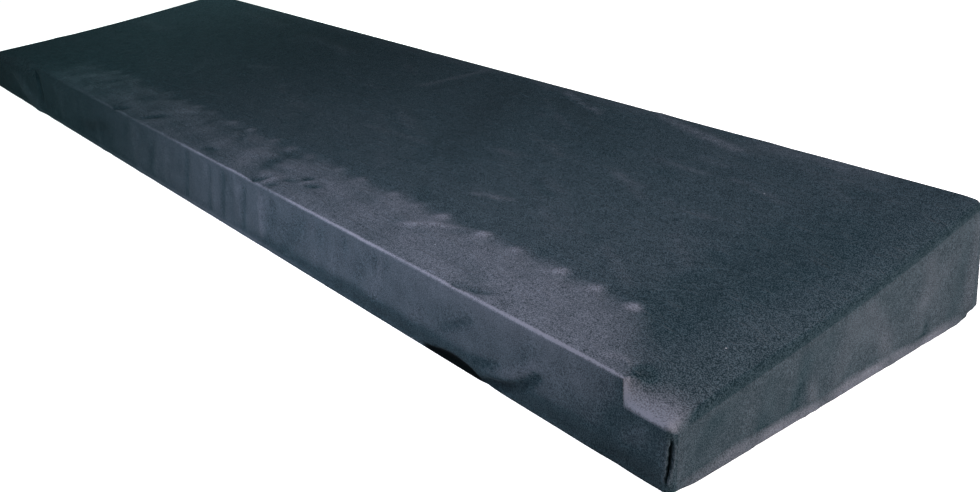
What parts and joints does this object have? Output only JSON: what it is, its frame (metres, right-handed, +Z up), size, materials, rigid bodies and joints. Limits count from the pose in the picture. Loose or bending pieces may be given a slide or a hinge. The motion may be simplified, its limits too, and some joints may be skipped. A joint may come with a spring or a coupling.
{
  "type": "fitted dust cover for a music keyboard",
  "caption": "Hollow fitted dust cover of dark stretch knit, pulled tight over a long low wedge with a raised front ridge, with sewn corners and a turned-under hem.",
  "frame": {"origin": "middle of the cover's footprint, in the plane of the hem's underside", "axes": "+X along the cover to its right end, +Y from the front ridge to the tall back, +Z up"},
  "size_m": [1.0373, 0.2693, 0.0735],
  "materials": {
    "stretch_knit": "matt fine knit, blue-black, slightly napped"
  },
  "bodies": {
    "root": {"cover": "stretch_knit"}
  },
  "joints": []
}
